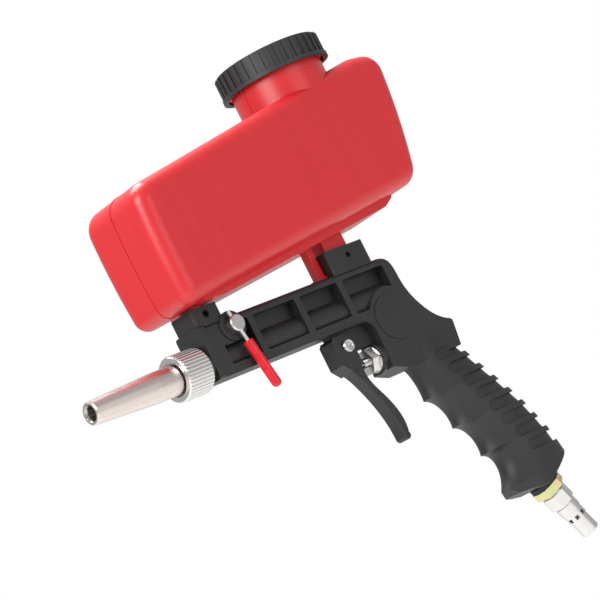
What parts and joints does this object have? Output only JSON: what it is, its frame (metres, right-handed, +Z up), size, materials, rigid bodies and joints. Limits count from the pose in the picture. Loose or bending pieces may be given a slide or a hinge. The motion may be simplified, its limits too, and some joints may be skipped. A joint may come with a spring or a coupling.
{
  "type": "gravity-feed blasting gun",
  "caption": "Hand-held gravity-feed blasting gun: red hopper with screw cap on a black body, tapered nozzle with knurled nut, feed lever, trigger valve and raked grip with air plug.",
  "frame": {"origin": "centre of the nozzle's muzzle, on the barrel's axis", "axes": "+X to the rear along the barrel, +Z up to the hopper, Y across the gun, -Y its left side with the feed lever"},
  "size_m": [0.2795, 0.063, 0.3109],
  "materials": {
    "body_nylon": "matte moulded nylon",
    "trigger_nylon": "matte moulded nylon",
    "cap_plastic": "matte moulded plastic",
    "hopper_red": "satin blow-moulded plastic",
    "sleeve_red": "gloss dipped vinyl",
    "seal_rubber": "matte rubber",
    "seal_foam": "matte foam sheet",
    "steel": "machined",
    "black_steel": "black oxide",
    "plated_steel": "bright nickel plate",
    "chrome": "polished",
    "brass": "machined",
    "yellow_zinc": "yellow zinc plate",
    "nozzle_alloy": "satin turned",
    "liner_steel": "hardened and ground"
  },
  "bodies": {
    "gun": {"gun_body": "body_nylon", "hopper": "hopper_red", "set_screw_left": "black_steel", "set_screw_right": "black_steel", "leg_pin": "black_steel", "nozzle_seal": "seal_rubber", "mix_chamber": "steel", "air_jet": "brass", "jet_seal": "seal_rubber", "air_tube": "steel", "feed_ring": "seal_rubber", "valve_nut": "plated_steel", "stem_seal": "seal_rubber", "valve_seat": "brass", "valve_spring": "steel", "trigger_pin": "plated_steel", "trigger_clip": "steel", "inlet_tube": "steel", "inlet_seal": "seal_rubber", "inlet_nut": "yellow_zinc", "air_plug": "plated_steel"},
    "nozzle": {"nozzle": "nozzle_alloy", "nozzle_liner": "liner_steel"},
    "nut": {"nozzle_nut": "plated_steel"},
    "feed_valve": {"feed_shaft": "chrome", "feed_clip": "steel", "lever_pin": "chrome", "lever_sleeve": "sleeve_red"},
    "trigger": {"trigger": "trigger_nylon"},
    "valve_stem": {"valve_stem": "plated_steel"},
    "cap_liner": {"cap_liner": "seal_foam"},
    "cap": {"hopper_cap": "cap_plastic"}
  },
  "joints": [
    {"name": "trigger_pull", "type": "hinge", "parent": "gun", "child": "trigger", "pos_m": [0.1665, 0, -0.018], "axis": [0, -1, 0], "range_deg": [0, 12], "stiffness_Nm_per_rad": 0.6, "springref_deg": -20.05},
    {"name": "valve_stem_slide", "type": "slide", "parent": "gun", "child": "valve_stem", "axis": [1, 0, 0], "range_m": [0, 0.0027], "deforming": ["valve_spring"]},
    {"name": "feed_lever_turn", "type": "hinge", "parent": "gun", "child": "feed_valve", "pos_m": [0.0988, 0, 0.0139], "axis": [0, -1, 0], "range_deg": [0, 90]},
    {"name": "nozzle_slide", "type": "slide", "parent": "gun", "child": "nozzle", "axis": [-1, 0, 0], "range_m": [0, 0.0075]},
    {"name": "nut_turn", "type": "hinge", "parent": "nozzle", "child": "nut", "pos_m": [0.065, 0, 0], "axis": [-1, 0, 0], "range_deg": [0, 1805]},
    {"name": "cap_lift", "type": "slide", "parent": "gun", "child": "cap_liner", "axis": [0, 0, 1], "range_m": [0, 0.0101]},
    {"name": "cap_turn", "type": "hinge", "parent": "cap_liner", "child": "cap", "pos_m": [0.2129, 0, 0.14], "axis": [0, 0, 1], "range_deg": [0, 900]}
  ],
  "couplings": [
    {"joint": "valve_stem_slide", "follows": "trigger_pull", "m_per_rad": 0.0124},
    {"joint": "nut_turn", "follows": "nozzle_slide", "rad_per_m": 4188.8},
    {"joint": "cap_lift", "follows": "cap_turn", "m_per_rad": 0.00063662}
  ]
}
